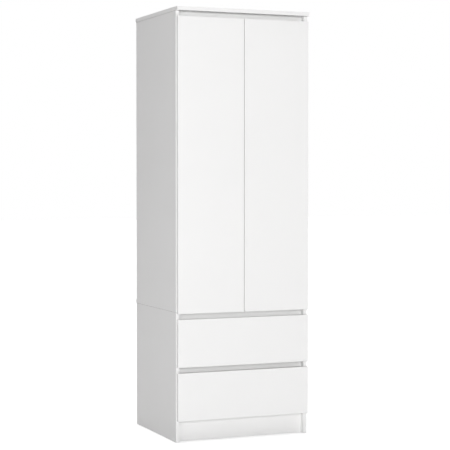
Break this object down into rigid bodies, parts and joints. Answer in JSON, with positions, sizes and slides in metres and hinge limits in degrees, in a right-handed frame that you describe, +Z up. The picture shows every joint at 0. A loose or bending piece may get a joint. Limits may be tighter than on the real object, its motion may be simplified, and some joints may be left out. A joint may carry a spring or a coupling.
{
  "type": "wardrobe",
  "caption": "Tall free-standing wardrobe with hinged doors above drawers, recessed finger gaps in place of handles and a set-back plinth.",
  "frame": {"origin": "floor level, under the middle of the cabinet's footprint", "axes": "+X to the right seen from the front, +Y from the front to the back, +Z up"},
  "size_m": [0.6, 0.52, 1.8],
  "materials": {
    "white_board": "white melamine-faced chipboard, satin",
    "hardboard": "hardboard, white lacquered on the inner face",
    "dowel_wood": "fluted beech",
    "roller_plastic": "moulded nylon",
    "runner_enamel": "white epoxy-coated sheet steel",
    "rail_chrome": "polished chrome plate",
    "hinge_nickel": "nickel-plated",
    "cast_zinc": "die-cast zinc, as cast",
    "plated_steel": "bright zinc-plated",
    "glide_plastic": "moulded polyethylene",
    "buffer_rubber": "soft clear polyurethane"
  },
  "bodies": {
    "carcass": {"top_panel": "white_board", "upper_left_side": "white_board", "upper_right_side": "white_board", "middle_panel": "white_board", "lower_left_side": "white_board", "lower_right_side": "white_board", "bottom_panel": "white_board", "plinth": "white_board", "top_rail": "white_board", "upper_drawer_rail": "white_board", "lower_drawer_rail": "white_board", "upper_back": "hardboard", "lower_back": "hardboard", "back_nails": "plated_steel", "shelf": "white_board", "shelf_pins": "plated_steel", "hanging_rail": "rail_chrome", "rail_sockets": "rail_chrome", "rail_socket_screws": "plated_steel", "hinge_mounting_plates": "hinge_nickel", "hinge_arms": "hinge_nickel", "hinge_plate_screws": "hinge_nickel", "upper_cabinet_runners": "runner_enamel", "lower_cabinet_runners": "runner_enamel", "cabinet_runner_screws": "plated_steel", "cam_locks": "cast_zinc", "cam_bolts": "plated_steel", "dowels": "dowel_wood", "floor_glides": "glide_plastic", "door_buffers": "buffer_rubber"},
    "left_door": {"left_door": "white_board", "left_hinge_cups": "hinge_nickel", "left_cup_screws": "plated_steel"},
    "right_door": {"right_door": "white_board", "right_hinge_cups": "hinge_nickel", "right_cup_screws": "plated_steel"},
    "upper_drawer": {"upper_drawer_front": "white_board", "upper_drawer_back": "white_board", "upper_drawer_bottom": "hardboard", "upper_drawer_left_side": "white_board", "upper_drawer_right_side": "white_board", "upper_drawer_runners": "runner_enamel", "upper_drawer_cams": "cast_zinc", "upper_drawer_dowels": "dowel_wood", "upper_drawer_screws": "plated_steel"},
    "upper_front_rollers": {"upper_front_rollers": "roller_plastic"},
    "upper_rear_rollers": {"upper_rear_rollers": "roller_plastic"},
    "lower_drawer": {"lower_drawer_front": "white_board", "lower_drawer_back": "white_board", "lower_drawer_bottom": "hardboard", "lower_drawer_left_side": "white_board", "lower_drawer_right_side": "white_board", "lower_drawer_runners": "runner_enamel", "lower_drawer_cams": "cast_zinc", "lower_drawer_dowels": "dowel_wood", "lower_drawer_screws": "plated_steel"},
    "lower_front_rollers": {"lower_front_rollers": "roller_plastic"},
    "lower_rear_rollers": {"lower_rear_rollers": "roller_plastic"}
  },
  "joints": [
    {"name": "left_door_hinge", "type": "hinge", "parent": "carcass", "child": "left_door", "pos_m": [-0.2907, -0.253, 0], "axis": [0, 0, -1], "range_deg": [0, 95]},
    {"name": "right_door_hinge", "type": "hinge", "parent": "carcass", "child": "right_door", "pos_m": [0.2907, -0.253, 0], "axis": [0, 0, 1], "range_deg": [0, 95]},
    {"name": "upper_drawer_slide", "type": "slide", "parent": "carcass", "child": "upper_drawer", "axis": [0, -1, 0], "range_m": [0, 0.34]},
    {"name": "upper_front_roller_spin", "type": "hinge", "parent": "carcass", "child": "upper_front_rollers", "pos_m": [0, -0.224, 0.358], "axis": [1, 0, 0], "continuous": true},
    {"name": "upper_rear_roller_spin", "type": "hinge", "parent": "upper_drawer", "child": "upper_rear_rollers", "pos_m": [0, 0.193, 0.354], "axis": [1, 0, 0], "continuous": true},
    {"name": "lower_drawer_slide", "type": "slide", "parent": "carcass", "child": "lower_drawer", "axis": [0, -1, 0], "range_m": [0, 0.34]},
    {"name": "lower_front_roller_spin", "type": "hinge", "parent": "carcass", "child": "lower_front_rollers", "pos_m": [0, -0.224, 0.136], "axis": [1, 0, 0], "continuous": true},
    {"name": "lower_rear_roller_spin", "type": "hinge", "parent": "lower_drawer", "child": "lower_rear_rollers", "pos_m": [0, 0.193, 0.132], "axis": [1, 0, 0], "continuous": true}
  ],
  "couplings": [
    {"joint": "upper_front_roller_spin", "follows": "upper_drawer_slide", "rad_per_m": 100},
    {"joint": "upper_rear_roller_spin", "follows": "upper_drawer_slide", "rad_per_m": 100},
    {"joint": "lower_front_roller_spin", "follows": "lower_drawer_slide", "rad_per_m": 100},
    {"joint": "lower_rear_roller_spin", "follows": "lower_drawer_slide", "rad_per_m": 100}
  ]
}
